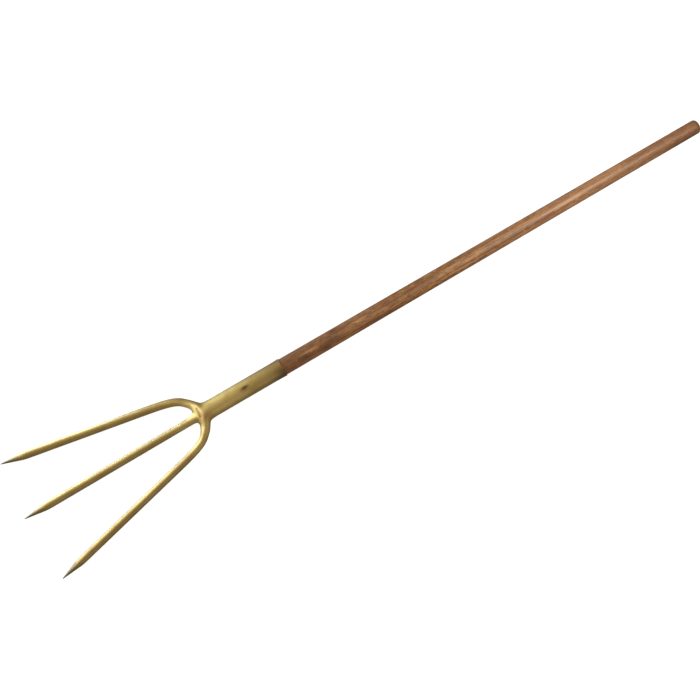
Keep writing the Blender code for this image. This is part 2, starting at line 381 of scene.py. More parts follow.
# %% [markdown]
# ## The weld's crease
# Where the neck was welded to the bent rod, the hammer left a short crease on both faces. It is pressed
# into the rounded mesh by moving points inwards, deepest on the line and less and less beside it.

# %% Press the crease
CREASE_ENDS = (Vector((-170.4, 12)) * MM, Vector((-171, -4)) * MM)
CREASE_WIDTH = 1.7 * MM
CREASE_DEPTH = 0.75 * MM


def press_crease(obj):
    """Move the points near the crease towards the middle of the head's thickness."""
    start, end = CREASE_ENDS
    for vert in obj.data.vertices:
        flat = Vector((vert.co.x - MOUTH.x, vert.co.y - MOUTH.y))
        share = max(0, min(1, (flat - start).dot(end - start) / (end - start).length_squared))
        away = (flat - start.lerp(end, share)).length / CREASE_WIDTH
        press = CREASE_DEPTH * math.exp(-away ** 2)
        vert.co.z -= math.copysign(press, vert.co.z - AXIS_HEIGHT)


press_crease(head)
print("the crease is", round((CREASE_ENDS[0] - CREASE_ENDS[1]).length / MM), "mm long")

# %% [markdown]
# ## A helper that adds nodes
# Blender's node trees can be drawn by hand or written down. Written down, every node needs the same three
# things: its settings, the values of its sockets and its links. One helper takes all three, for every kind
# of node, in geometry and in materials.

# %% Add a node
def add(tree, kind, sockets=None, **settings):
    """Add a node with its settings, and give its sockets their values or links."""
    node = tree.nodes.new(kind)
    for name, value in settings.items():
        setattr(node, name, value)
    for key, value in (sockets or {}).items():
        if isinstance(value, bpy.types.NodeSocket):
            tree.links.new(value, node.inputs[key])
        else:
            node.inputs[key].default_value = value
    return node


# %% [markdown]
# ## The handle
# The handle is turned: at every place along it the wood is round, and only the radius changes. That is a
# rule, so a Geometry Nodes tree makes it. A line runs from the hidden end to the grip end, each of its
# points gets its radius, and Curve to Mesh sweeps a circle along it. The last few points are spent on the
# rounded end: there an angle turns from 0 to 90 degrees, and its sine and cosine give a quarter round. A
# point's number says how far along it is, because that stays the same while the points move. Wood shrinks
# unevenly as it dries, so the skin is pulled in by up to about a tenth of a millimetre at the end.

# %% Sizes of the handle
HANDLE_STATIONS = 300
HANDLE_SIDES = 96
ROUND_FROM = 0.94
HANDLE_CLEARANCE = 0.3 * MM
DRYING_PATTERN = (6.0, 45.0, 45.0)
HANDLE_SIZES = {
    "Hidden Length": HIDDEN_LENGTH,
    "Shown Length": SHOWN_LENGTH,
    "Flare Length": FLARE_LENGTH,
    "Hidden Radius": SOCKET_RADIUS - WALL - HANDLE_CLEARANCE,
    "Mouth Radius": MOUTH_RADIUS - WALL - HANDLE_CLEARANCE,
    "Grip Radius": 13.05 * MM,
    "Taper Power": 1.2,
    "End Round": 8 * MM,
    "Drying": 0.12 * MM,
}
print({name: round(value / MM, 2) for name, value in HANDLE_SIZES.items() if name != "Taper Power"})


# %% Where each point of the line goes
def handle_places(tree, given):
    """How far along each point is, its place on the axis, and the cosine of the end's rounding."""
    body_end = add(tree, "ShaderNodeMath", {0: given["Shown Length"], 1: given["End Round"]},
                   operation="SUBTRACT").outputs[0]
    hidden_end = add(tree, "ShaderNodeMath", {0: given["Hidden Length"], 1: -1.0},
                     operation="MULTIPLY").outputs[0]
    number = add(tree, "GeometryNodeInputIndex").outputs[0]
    factor = add(tree, "ShaderNodeMath", {0: number, 1: HANDLE_STATIONS - 1.0}, operation="DIVIDE").outputs[0]
    along = add(tree, "ShaderNodeMapRange", {"Value": factor, "From Max": ROUND_FROM, "To Min": hidden_end,
                                             "To Max": body_end}).outputs["Result"]
    angle = add(tree, "ShaderNodeMapRange", {"Value": factor, "From Min": ROUND_FROM,
                                             "To Max": math.pi / 2}).outputs["Result"]
    sine = add(tree, "ShaderNodeMath", {0: angle}, operation="SINE").outputs[0]
    cosine = add(tree, "ShaderNodeMath", {0: angle}, operation="COSINE").outputs[0]
    x = add(tree, "ShaderNodeMath", {0: given["End Round"], 1: sine, 2: along},
            operation="MULTIPLY_ADD").outputs[0]
    return along, body_end, x, cosine


# %% The radius at each point
def handle_radius(tree, given, along, body_end, cosine):
    """The taper towards the grip, the flare in the socket's mouth and the rounded end, in one radius."""
    remaining = add(tree, "ShaderNodeMapRange", {"Value": along, "From Max": body_end, "To Min": 1.0,
                                                 "To Max": 0.0}).outputs["Result"]
    taper = add(tree, "ShaderNodeMath", {0: remaining, 1: given["Taper Power"]}, operation="POWER").outputs[0]
    tapered = add(tree, "ShaderNodeMapRange", {"Value": taper, "To Min": given["Grip Radius"],
                                               "To Max": given["Mouth Radius"]}).outputs["Result"]
    flare_start = add(tree, "ShaderNodeMath", {0: given["Flare Length"], 1: -1.0},
                      operation="MULTIPLY").outputs[0]
    opening = add(tree, "ShaderNodeMapRange", {"Value": along, "From Min": flare_start,
                                               "From Max": 0.0}).outputs["Result"]
    squared = add(tree, "ShaderNodeMath", {0: opening, 1: 2.0}, operation="POWER").outputs[0]
    body = add(tree, "ShaderNodeMapRange", {"Value": squared, "To Min": given["Hidden Radius"],
                                            "To Max": tapered}).outputs["Result"]
    share = add(tree, "ShaderNodeMath", {0: 1.0, 1: cosine}, operation="SUBTRACT").outputs[0]
    taken = add(tree, "ShaderNodeMath", {0: share, 1: given["End Round"]}, operation="MULTIPLY").outputs[0]
    return add(tree, "ShaderNodeMath", {0: body, 1: taken}, operation="SUBTRACT").outputs[0]


# %% Uneven drying
def drying_offset(tree, given):
    """How far each point of the skin moves inwards, from a noise that is long along the wood."""
    where = add(tree, "GeometryNodeInputPosition").outputs[0]
    stretched = add(tree, "ShaderNodeVectorMath", {0: where, 1: DRYING_PATTERN},
                    operation="MULTIPLY").outputs[0]
    noise = add(tree, "ShaderNodeTexNoise", {"Vector": stretched, "Scale": 1.0, "Detail": 2.0}).outputs[0]
    shrinkage = add(tree, "ShaderNodeMath", {0: noise, 1: given["Drying"]}, operation="MULTIPLY").outputs[0]
    inward = add(tree, "ShaderNodeMath", {0: shrinkage, 1: -1.0}, operation="MULTIPLY").outputs[0]
    normal = add(tree, "GeometryNodeInputNormal").outputs[0]
    return add(tree, "ShaderNodeVectorMath", {0: normal, "Scale": inward}, operation="SCALE").outputs[0]


# %% The handle's tree
def turned_handle_tree(material):
    """A Geometry Nodes tree that turns the handle, with its sizes as named inputs."""
    tree = bpy.data.node_groups.new("turned handle", "GeometryNodeTree")
    tree.is_modifier = True
    for name, value in HANDLE_SIZES.items():
        size = tree.interface.new_socket(name, in_out="INPUT", socket_type="NodeSocketFloat")
        size.default_value = value
    tree.interface.new_socket("Geometry", in_out="OUTPUT", socket_type="NodeSocketGeometry")
    given = add(tree, "NodeGroupInput").outputs

    along, body_end, x, cosine = handle_places(tree, given)
    radius = handle_radius(tree, given, along, body_end, cosine)
    line = add(tree, "GeometryNodeCurvePrimitiveLine", {"End": (1.0, 0.0, 0.0)}).outputs[0]
    stations = add(tree, "GeometryNodeResampleCurve", {"Curve": line, "Count": HANDLE_STATIONS}).outputs[0]
    place_x = add(tree, "ShaderNodeCombineXYZ", {0: x}).outputs[0]
    moved = add(tree, "GeometryNodeSetPosition", {"Geometry": stations, "Position": place_x}).outputs[0]
    circle = add(tree, "GeometryNodeCurvePrimitiveCircle",
                 {"Resolution": HANDLE_SIDES, "Radius": 1.0}).outputs[0]
    swept = add(tree, "GeometryNodeCurveToMesh", {"Curve": moved, "Profile Curve": circle, "Scale": radius,
                                                  "Fill Caps": True}).outputs[0]
    dried = add(tree, "GeometryNodeSetPosition",
                {"Geometry": swept, "Offset": drying_offset(tree, given)}).outputs[0]
    real = add(tree, "GeometryNodeRealizeInstances", {"Geometry": dried}).outputs[0]
    painted = add(tree, "GeometryNodeSetMaterial", {"Geometry": real, "Material": material}).outputs[0]
    add(tree, "NodeGroupOutput", {"Geometry": painted})
    print("turned handle", len(tree.nodes), "nodes")
    return tree


# %% [markdown]
# ## Colours
# The colours below are written the way a paint chart gives them, and one function turns them into the
# linear values that a renderer adds and multiplies. A finish is then laid down the way it happened: a
# ground colour first, and over it, one after another, what was added, worn off or soaked in, each where its
# mask says.

# %% From a chart's colour to a linear one
def linear(colour):
    """The linear red, green, blue and alpha of an sRGB colour such as #808080."""
    channels = [int(colour[i:i + 2], 16) / 255 for i in (1, 3, 5)]
    return [c / 12.92 if c <= 0.04045 else ((c + 0.055) / 1.055) ** 2.4 for c in channels] + [1.0]


print("middle grey #808080 is", round(linear("#808080")[0], 3), "in linear light")


# %% Helpers for materials
def new_material(name):
    """A material, its tree and the shader that every finish here sets."""
    material = bpy.data.materials.new(name)
    material.use_nodes = True
    return material, material.node_tree, material.node_tree.nodes["Principled BSDF"]


def spot(tree, coordinates, centre, radii, edge):
    """A soft mask, 1 inside an ellipsoid and 0 outside it. Its edge is a share of the radii."""
    size = [1 / r for r in radii]
    moved = add(tree, "ShaderNodeVectorMath", {0: coordinates, 1: centre}, operation="SUBTRACT").outputs[0]
    scaled = add(tree, "ShaderNodeVectorMath", {0: moved, 1: size}, operation="MULTIPLY").outputs[0]
    length = add(tree, "ShaderNodeVectorMath", {0: scaled}, operation="LENGTH").outputs["Value"]
    return add(tree, "ShaderNodeMapRange", {"Value": length, "From Min": 1 - edge, "From Max": 1 + edge,
                                            "To Min": 1.0, "To Max": 0.0}).outputs["Result"]


def weaker(tree, mask, strength):
    """The same mask at a part of its strength."""
    return add(tree, "ShaderNodeMath", {0: mask, 1: strength}, operation="MULTIPLY").outputs[0]


def any_of(tree, masks):
    """One mask that is set wherever one of several is."""
    whole = 0.0
    for mask in masks:
        whole = add(tree, "ShaderNodeMath", {0: whole, 1: mask}, operation="MAXIMUM").outputs[0]
    return whole


def laid_over(tree, ground, layers):
    """Lay colours over a ground, each as strong as its mask, from the first to the last."""
    for mask, colour in layers:
        ground = add(tree, "ShaderNodeMix", {0: mask, 6: ground, 7: linear(colour)},
                     data_type="RGBA").outputs[2]
    return ground


# %% [markdown]
# ## Gold lacquer over forged steel
# The head is steel, forged and left with a slightly wavy skin, then dipped in a clear lacquer tinted like
# old brass. The steel below still acts as a metal, so the material is metallic with a gold tint, and the
# lacquer is a coat with a sharper gloss of its own. The eye sees a soft gold with a pale line where a
# window is reflected. The lacquer clouds a little where it ran thicker. It is thinner and browner on the
# drawn-out tines. Towards the socket's mouth it darkens, partly as aged lacquer and partly as painted
# shade, and a painted shade darkens the mouth's -Y side. Dirt sits in the dent, painted shade lies in the
# crease, a painted warm reflection lies on the neck, and the points are worn bare.

# %% Sizes of the head's finish
LACQUER_CLOUD = 30 * MM
LACQUER_SPECK = 4 * MM
HAMMER_WAVE = 14 * MM
THIN_FROM_X = MOUTH.x - 180 * MM
THIN_TO_X = MOUTH.x - 240 * MM
# Towards the mouth the lacquer darkens: partly aged lacquer, partly painted shade where less light reaches.
CLEAN_AND_LIT_TO_X = MOUTH.x - 95 * MM
AGED_AND_SHADED_FROM_X = MOUTH.x - 8 * MM
DENT_PLACE = Vector((-77 * MM, 1.8 * MM, 0))
# A painted shade on the -Y side of the socket's mouth.
MOUTH_SHADE = (MOUTH + Vector((1 * MM, -9 * MM, AXIS_HEIGHT)), Vector((17, 14, 26)) * MM)
DENT_DIRT = (MOUTH + DENT_PLACE + Vector((0, 0, AXIS_HEIGHT + 16 * MM)), Vector((8, 3.6, 8)) * MM)
# Painted shade in the weld's crease.
CREASE_SHADE = (MOUTH + Vector((-170.7 * MM, 4 * MM, AXIS_HEIGHT + 12 * MM)), Vector((1.7, 8, 14)) * MM)
# A painted warm reflection on the neck.
WARM_REFLECTION = (MOUTH + Vector((-164 * MM, -8 * MM, AXIS_HEIGHT + 14 * MM)), Vector((15, 7, 20)) * MM)
POINT_WEAR = Vector((30, 30, 30)) * MM
print("the lacquer thins over", round((THIN_FROM_X - THIN_TO_X) / MM), "mm of each tine")


# %% The lacquer's colours
def lacquer_layers(tree, where, clouds, specks):
    """What happened to the lacquer, with the painted shade and reflection, as masks with their colours."""
    speckled = add(tree, "ShaderNodeMapRange", {"Value": specks, "From Min": 0.55, "From Max": 0.8,
                                                "To Max": 0.22}).outputs["Result"]
    x = add(tree, "ShaderNodeSeparateXYZ", {0: where}).outputs["X"]
    thinned = add(tree, "ShaderNodeMapRange", {"Value": x, "From Min": THIN_FROM_X, "From Max": THIN_TO_X,
                                               "To Max": 0.6}).outputs["Result"]
    # Darker towards the socket's mouth: aged lacquer and painted shade.
    aged_and_shaded = add(tree, "ShaderNodeMapRange", {"Value": x, "From Min": CLEAN_AND_LIT_TO_X, "From Max": AGED_AND_SHADED_FROM_X,
                                            "To Max": 0.78}).outputs["Result"]
    # Painted shade on the mouth's -Y side, broken up by the clouds.
    mouth_shade_mask = spot(tree, where, *MOUTH_SHADE, 0.5)
    painted_mouth_shade = add(tree, "ShaderNodeMath", {0: mouth_shade_mask, 1: clouds}, operation="MULTIPLY").outputs[0]
    dent_dirt = weaker(tree, spot(tree, where, *DENT_DIRT, 0.5), 0.78)
    # The dent's darkening is dirt; the crease's darkening is painted shade.
    painted_crease_shade = weaker(tree, spot(tree, where, *CREASE_SHADE, 0.7), 0.38)
    dent_dirt_and_crease_shade = any_of(tree, [dent_dirt, painted_crease_shade])
    # A painted warm reflection on the neck.
    painted_warm_reflection = weaker(tree, spot(tree, where, *WARM_REFLECTION, 0.7), 0.5)
    tips = [MOUTH + Vector((*line[-1], dish_height(line[-1].x))) for line in tine_lines]
    worn = weaker(tree, any_of(tree, [spot(tree, where, tip, POINT_WEAR, 0.6) for tip in tips]), 0.9)
    # The mouth's shade, the crease's shade and the neck's warm reflection among these are painted light.
    return [(speckled, "#8A6430"), (thinned, "#886E36"), (aged_and_shaded, "#7A5E30"), (painted_mouth_shade, "#3E2A18"),
            (dent_dirt_and_crease_shade, "#4E3014"), (painted_warm_reflection, "#9C6430"), (worn, "#5E5642")]


# %% The head's material
def lacquered_steel():
    material, tree, shader = new_material("gold_lacquered_forged_steel")
    where = add(tree, "ShaderNodeTexCoord").outputs["Object"]
    clouds = add(tree, "ShaderNodeTexNoise",
                 {"Vector": where, "Scale": 1 / LACQUER_CLOUD, "Detail": 4.0}).outputs["Fac"]
    specks = add(tree, "ShaderNodeTexNoise",
                 {"Vector": where, "Scale": 1 / LACQUER_SPECK, "Detail": 3.0}).outputs["Fac"]
    depth = add(tree, "ShaderNodeMapRange",
                {"Value": clouds, "From Min": 0.35, "From Max": 0.65}).outputs["Result"]
    gold = add(tree, "ShaderNodeMix", {0: depth, 6: linear("#D3BD7B"), 7: linear("#B69D5A")},
               data_type="RGBA").outputs[2]
    colour = laid_over(tree, gold, lacquer_layers(tree, where, clouds, specks))
    tree.links.new(colour, shader.inputs["Base Color"])

    sheen = add(tree, "ShaderNodeMapRange", {"Value": clouds, "From Min": 0.3, "From Max": 0.7,
                                             "To Min": 0.38, "To Max": 0.48}).outputs["Result"]
    tree.links.new(sheen, shader.inputs["Roughness"])
    shader.inputs["Metallic"].default_value = 0.92
    shader.inputs["Coat Weight"].default_value = 0.9
    shader.inputs["Coat Roughness"].default_value = 0.18

    hammered = add(tree, "ShaderNodeTexNoise",
                   {"Vector": where, "Scale": 1 / HAMMER_WAVE, "Detail": 1.0}).outputs["Fac"]
    waves = add(tree, "ShaderNodeBump",
                {"Height": hammered, "Strength": 0.2, "Distance": 0.2 * MM}).outputs[0]
    peel = add(tree, "ShaderNodeBump", {"Height": specks, "Strength": 0.08, "Distance": 0.03 * MM,
                                        "Normal": waves}).outputs[0]
    tree.links.new(peel, shader.inputs["Normal"])
    print(material.name, len(tree.nodes), "nodes")
    return material


# %% [markdown]
# ## Stained ash
# Ash has long open fibres, and dark stain sinks into them: close up the handle is a mass of fine dark and
# light streaks that run along it. The streaks are noise that is stretched many times along the handle. Real
# fibres are a fifth of a millimetre wide, too fine to show, so they are drawn about a millimetre wide. The
# year rings show as broader bands, so a ring pattern around a pith well outside the handle is mixed in. The
# stain took unevenly, darkest next to the socket and at the grip, and here and there a knot breaks the
# figure. Pale painted highlights lie along the top of the handle. A wiped-on oil leaves a low gloss.

# %% Sizes of the wood's figure
# Real fibres are a fifth of this wide. That is too fine to show, so they are drawn coarser.
FIBRE_WIDTH = 1.1 * MM
STREAK_WIDTH = 6 * MM
CLOUD_WIDTH = 6 * MM
PATCH_WIDTH = 13 * MM
YEAR_RING = 3.4907 * MM
PITH = (0.0, 31 * MM, -24 * MM)
FIBRE_STRETCH = (0.03, 1.0, 1.0)
PATCH_STRETCH = (0.2, 1.0, 1.0)
CLOUD_STRETCH = (0.4, 1.0, 1.0)
# A wave texture with a scale of 1 runs through 20 radians in every metre.
WAVE_RADIANS = 20
streak_length = STREAK_WIDTH / FIBRE_STRETCH[0]
print("a streak is", round(STREAK_WIDTH / MM), "mm wide and", round(streak_length / MM), "mm long")


# %% The wood's figure
def ash_figure(tree, centred, drawn):
    """Year rings, streaks and clouds as one pattern, and the clouds alone."""
    streaks = add(tree, "ShaderNodeTexNoise", {"Vector": drawn, "Scale": 1 / STREAK_WIDTH, "Detail": 3.0,
                                               "Distortion": 0.6}).outputs["Fac"]
    pith = add(tree, "ShaderNodeVectorMath", {0: drawn, 1: PITH}, operation="ADD").outputs[0]
    rings = add(tree, "ShaderNodeTexWave", {"Vector": pith, "Scale": math.tau / (WAVE_RADIANS * YEAR_RING),
                                            "Distortion": 3.5, "Detail": 2.0, "Detail Scale": 1.2},
                wave_type="RINGS", rings_direction="X").outputs["Fac"]
    cloudy = add(tree, "ShaderNodeVectorMath", {0: centred, 1: CLOUD_STRETCH},
                 operation="MULTIPLY").outputs[0]
    clouds = add(tree, "ShaderNodeTexNoise", {"Vector": cloudy, "Scale": 1 / CLOUD_WIDTH, "Detail": 3.0,
                                              "Distortion": 1.2}).outputs["Fac"]
    grain = add(tree, "ShaderNodeMix", {0: 0.22, 2: streaks, 3: rings}).outputs[0]
    return add(tree, "ShaderNodeMix", {0: 0.5, 2: grain, 3: clouds}).outputs[0], clouds


# %% [markdown]
# The stain is laid over that figure in the order in which it dries: first the blotches and the pores, then
# what changes from one end of the handle to the other, and last the knots. The painted highlights go on
# last of all. Each knot and highlight is an ellipsoid, given by its middle and its radii in millimetres
# from the mouth. The clouds bend its outline.

# %% Where the stain is uneven
NEAR_REACH = 400 * MM
EVEN_FROM = 300 * MM
EVEN_TO = 600 * MM
HELD_FROM = 680 * MM
HELD_TO = 860 * MM
WOBBLE = 9 * MM
KNOTS = [
    ((186, 8, 18), (6, 3, 5)),
    ((92, -4, 18), (9, 5, 9)),
    ((104, 3, 18), (9, 4, 9)),
    ((112, 15, 12), (7, 3, 8)),
    ((52, -1, 18), (12, 3, 9)),
    ((640, 3, 16), (20, 2, 8)),
    ((838, -9, 10), (34, 7, 12)),
]
# Pale marks along the top of the handle: painted highlights.
PAINTED_HIGHLIGHTS = [
    ((164, 8, 18), (20, 2, 6)),
    ((60, 6, 20), (16, 1.6, 8)),
    ((600, 4, 18), (60, 3, 8)),
]
# The pale streaks counted here are painted highlights.
print(len(KNOTS), "dark knots and", len(PAINTED_HIGHLIGHTS), "pale streaks")


# %% The stain's colours
def stain_layers(tree, centred, fibres, clouds):
    """What the stain did, and the painted highlights, as masks with their colours."""
    patchy = add(tree, "ShaderNodeVectorMath", {0: centred, 1: PATCH_STRETCH},
                 operation="MULTIPLY").outputs[0]
    patches = add(tree, "ShaderNodeTexNoise", {"Vector": patchy, "Scale": 1 / PATCH_WIDTH, "Detail": 3.0,
                                               "Distortion": 0.8}).outputs["Fac"]
    blotches = add(tree, "ShaderNodeMapRange", {"Value": patches, "From Min": 0.48, "From Max": 0.7,
                                                "To Max": 0.55}).outputs["Result"]
    pores = add(tree, "ShaderNodeMapRange", {"Value": fibres, "From Min": 0.52, "From Max": 0.72,
                                             "To Max": 0.45}).outputs["Result"]
    x = add(tree, "ShaderNodeSeparateXYZ", {0: centred}).outputs["X"]
    near = add(tree, "ShaderNodeMapRange", {"Value": x, "From Min": 0.0, "From Max": NEAR_REACH,
                                            "To Min": 0.55, "To Max": 0.0}).outputs["Result"]
    held = add(tree, "ShaderNodeMapRange", {"Value": x, "From Min": HELD_FROM, "From Max": HELD_TO,
                                            "To Max": 0.55}).outputs["Result"]
    even = add(tree, "ShaderNodeMapRange", {"Value": x, "From Min": EVEN_FROM, "From Max": EVEN_TO,
                                            "To Max": 0.4}).outputs["Result"]
    dark_ends = add(tree, "ShaderNodeMath", {0: near, 1: held}, operation="MAXIMUM").outputs[0]
    layers = [(blotches, "#66391D"), (pores, "#4A2E1B"), (even, "#80604A"), (dark_ends, "#5C3413")]

    bend = add(tree, "ShaderNodeVectorMath", {0: clouds, "Scale": WOBBLE}, operation="SCALE").outputs[0]
    wavy = add(tree, "ShaderNodeVectorMath", {0: centred, 1: bend}, operation="ADD").outputs[0]
    # Dark knots, then the pale painted highlights.
    for marks, strength, colour in ((KNOTS, 0.7, "#3F2412"), (PAINTED_HIGHLIGHTS, 0.45, "#B98C62")):
        spots = [spot(tree, wavy, Vector(centre) * MM, Vector(radii) * MM, 0.7) for centre, radii in marks]
        layers.append((weaker(tree, any_of(tree, spots), strength), colour))
    return layers


# %% The handle's material
def stained_ash():
    material, tree, shader = new_material("stained_oiled_ash")
    where = add(tree, "ShaderNodeTexCoord").outputs["Object"]
    axis = MOUTH + Vector((0, 0, AXIS_HEIGHT))
    centred = add(tree, "ShaderNodeVectorMath", {0: where, 1: axis}, operation="SUBTRACT").outputs[0]
    drawn = add(tree, "ShaderNodeVectorMath", {0: centred, 1: FIBRE_STRETCH}, operation="MULTIPLY").outputs[0]
    fibres = add(tree, "ShaderNodeTexNoise", {"Vector": drawn, "Scale": 1 / FIBRE_WIDTH, "Detail": 4.0,
                                              "Roughness": 0.6}).outputs["Fac"]
    figure, clouds = ash_figure(tree, centred, drawn)
    tone = add(tree, "ShaderNodeMapRange",
               {"Value": figure, "From Min": 0.41, "From Max": 0.61}).outputs["Result"]
    wood = add(tree, "ShaderNodeMix", {0: tone, 6: linear("#5B3A1A"), 7: linear("#9D7143")},
               data_type="RGBA").outputs[2]
    colour = laid_over(tree, wood, stain_layers(tree, centred, fibres, clouds))
    tree.links.new(colour, shader.inputs["Base Color"])

    gloss = add(tree, "ShaderNodeMapRange",
                {"Value": fibres, "To Min": 0.42, "To Max": 0.58}).outputs["Result"]
    tree.links.new(gloss, shader.inputs["Roughness"])
    shader.inputs["Coat Weight"].default_value = 0.65
    shader.inputs["Coat Roughness"].default_value = 0.48
    shader.inputs["Specular IOR Level"].default_value = 0.15

    raised = add(tree, "ShaderNodeBump",
                 {"Height": fibres, "Strength": 0.5, "Distance": 0.12 * MM}).outputs[0]
    tree.links.new(raised, shader.inputs["Normal"])
    print(material.name, len(tree.nodes), "nodes")
    return material


# %% [markdown]
# ## The screw
# One countersunk screw under the socket keeps the handle from pulling out. It is turned, so its outline is
# spun around its own axis, and a saw cut across the head is the slot for the screwdriver. It is steel with
# a thin zinc plate, which the eye sees as a pale grey metal, clouded in fine crystals.

# %% The screw's material
# Real plating is finer than this. It is drawn coarser, so that it shows.
ZINC_CRYSTAL = 1.5 * MM


def zinc_plate():
    material, tree, shader = new_material("zinc_plated_steel")
    where = add(tree, "ShaderNodeTexCoord").outputs["Object"]
    bloom = add(tree, "ShaderNodeTexNoise",
                {"Vector": where, "Scale": 1 / ZINC_CRYSTAL, "Detail": 3.0}).outputs["Fac"]
    colour = add(tree, "ShaderNodeMix", {0: bloom, 6: linear("#C4C6C4"), 7: linear("#8E918F")},
                 data_type="RGBA").outputs[2]
    tree.links.new(colour, shader.inputs["Base Color"])
    dullness = add(tree, "ShaderNodeMapRange",
                   {"Value": bloom, "To Min": 0.25, "To Max": 0.5}).outputs["Result"]
    tree.links.new(dullness, shader.inputs["Roughness"])
    shader.inputs["Metallic"].default_value = 1.0
    print(material.name, len(tree.nodes), "nodes")
    return material


# %% The screw's shape
SCREW_X = -34 * MM
SCREW_HEAD_RADIUS = 4.2 * MM
SCREW_HEAD_DEPTH = 2.2 * MM
SCREW_RIM = 0.2 * MM
SCREW_SHANK_RADIUS = 2.2 * MM
SCREW_SHANK_END = 16 * MM
SCREW_LENGTH = 20 * MM
SCREW_POINT_RADIUS = 0.3 * MM
SCREW_STEPS = 48
MERGE = 0.01 * MM
SLOT_WIDTH = 1.1 * MM
SLOT_DEPTH = 1.0 * MM


def screw_outline(extra):
    """Height above the head's face and radius, grown all round for a hole."""
    head_radius = SCREW_HEAD_RADIUS + extra
    shank_radius = SCREW_SHANK_RADIUS + extra
    return [(-extra, 0), (-extra, head_radius - SCREW_RIM), (SCREW_RIM, head_radius),
            (SCREW_HEAD_DEPTH + extra, shank_radius), (SCREW_SHANK_END, shank_radius),
            (SCREW_LENGTH + extra, SCREW_POINT_RADIUS), (SCREW_LENGTH + extra, 0)]


def turned_screw(name, extra):
    """Spin a countersunk screw that points up into the socket from below."""
    bm = bmesh.new()
    foot = Vector((SCREW_X, 0, AXIS_HEIGHT - SOCKET_RADIUS))
    verts = [bm.verts.new(foot + Vector((r, 0, z))) for z, r in screw_outline(extra)]
    edges = [bm.edges.new(pair) for pair in zip(verts, verts[1:])]
    bmesh.ops.spin(bm, geom=verts + edges, cent=foot, axis=(0, 0, 1), angle=math.tau, steps=SCREW_STEPS,
                   use_merge=True)
    bmesh.ops.remove_doubles(bm, verts=bm.verts, dist=MERGE)
    return place(name, bm)


def slot_cutter():
    """A saw blade as wide as the slot."""
    bm = bmesh.new()
    bmesh.ops.create_cube(bm, size=1)
    bmesh.ops.scale(bm, verts=bm.verts, vec=(3 * SCREW_HEAD_RADIUS, SLOT_WIDTH, 2 * SLOT_DEPTH))
    bmesh.ops.translate(bm, verts=bm.verts, vec=(SCREW_X, 0, AXIS_HEIGHT - SOCKET_RADIUS))
    return place("slot_cutter", bm)


# %% Turn the screw and let it into the socket
HOLE_CLEARANCE = 0.15 * MM
screw = turned_screw("socket_screw_turned", 0)
cut(screw, slot_cutter(), "slot")
screw.data.materials.append(zinc_plate())
cut(head, turned_screw("countersink", HOLE_CLEARANCE), "countersink")

# %% [markdown]
# ## The dent on the socket
# On top of the socket is one small struck mark. Here it is a plain oval dent with a lozenge punched into
# its middle. Two cutters make it: a flat egg that dips into the top of the socket, and a four-sided punch
# that is narrower below than above.

# %% Cutters for the dent
DENT_RADII = Vector((9.4, 5.0, 2.0)) * MM
DENT_RAISED = 1.2 * MM
DENT_SIDES = 48
DENT_HOOPS = 24
LOZENGE_FOOT = 1.2 * MM
LOZENGE_TOP = 2.0 * MM
LOZENGE_DEPTH = 1.2 * MM
LOZENGE_LONGER = 1.9
LOZENGE_SUNK = 0.5 * MM


def dent_cutter():
    """A flat egg that dips into the top of the socket and leaves a plain oval dent."""
    bm = bmesh.new()
    bmesh.ops.create_uvsphere(bm, u_segments=DENT_SIDES, v_segments=DENT_HOOPS, radius=1)
    bmesh.ops.scale(bm, verts=bm.verts, vec=DENT_RADII)
    top = Vector((0, 0, AXIS_HEIGHT + SOCKET_RADIUS + DENT_RAISED))
    bmesh.ops.translate(bm, verts=bm.verts, vec=DENT_PLACE + top)
    return place("dent_cutter", bm)


def lozenge_cutter():
    """A punch with four sides, longer along the socket and pressed a little deeper than the oval."""
    bm = bmesh.new()
    bmesh.ops.create_cone(bm, cap_ends=True, segments=4, radius1=LOZENGE_FOOT, radius2=LOZENGE_TOP,
                          depth=LOZENGE_DEPTH)
    bmesh.ops.scale(bm, verts=bm.verts, vec=(LOZENGE_LONGER, 1, 1))
    top = Vector((0, 0, AXIS_HEIGHT + SOCKET_RADIUS - LOZENGE_SUNK))
    bmesh.ops.translate(bm, verts=bm.verts, vec=DENT_PLACE + top)
    return place("lozenge_cutter", bm)


# %% Strike the dent and finish the head
cut(head, dent_cutter(), "oval dent")
cut(head, lozenge_cutter(), "lozenge")
head.data.materials.clear()
head.data.materials.append(lacquered_steel())

# %% Turn the handle
HANDLE_EDGE = 40
handle = bpy.data.objects.new("ash_handle", bpy.data.meshes.new("handle_line"))
bpy.context.scene.collection.objects.link(handle)
lathe = handle.modifiers.new("turned handle", "NODES")
lathe.node_group = turned_handle_tree(stained_ash())
for socket in lathe.node_group.interface.items_tree:
    if socket.name in HANDLE_SIZES:
        lathe[socket.identifier] = HANDLE_SIZES[socket.name]
bake(handle, sharp_angle=HANDLE_EDGE)
handle.data.transform(Matrix.Translation(MOUTH + Vector((0, 0, AXIS_HEIGHT))))
cut(handle, turned_screw("pilot_hole", HOLE_CLEARANCE), "pilot hole")

# %% [markdown]
# ## Joining the frame
# Nothing on this fork moves, so every piece rides on the frame's one body. Each new piece says which solids
# of the frame it stands for, and those solids are hidden.

# %% Ride and replace
for piece, nodes, finish in (
        (head, ("socket", "yoke", "tine_left", "tine_center", "tine_right"), "head_steel"),
        (handle, ("handle",), "handle_wood"),
        (screw, ("socket_screw",), "screw_steel")):
    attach(piece, "root")
    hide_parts(*nodes)
    print(piece.name, "stands for", ", ".join(nodes))

# %% [markdown]
# ## Studio
# The fork lies on a pale floor that glows, so that it stays plain. The floor stops no light and shows in no
# reflection, because the tines need light from very low down: their upper flanks mirror what is beside and
# just below them. A long low window stands there and draws the pale line down each tine. A high window adds
# a softer light on the head, and a small light hangs over the handle.

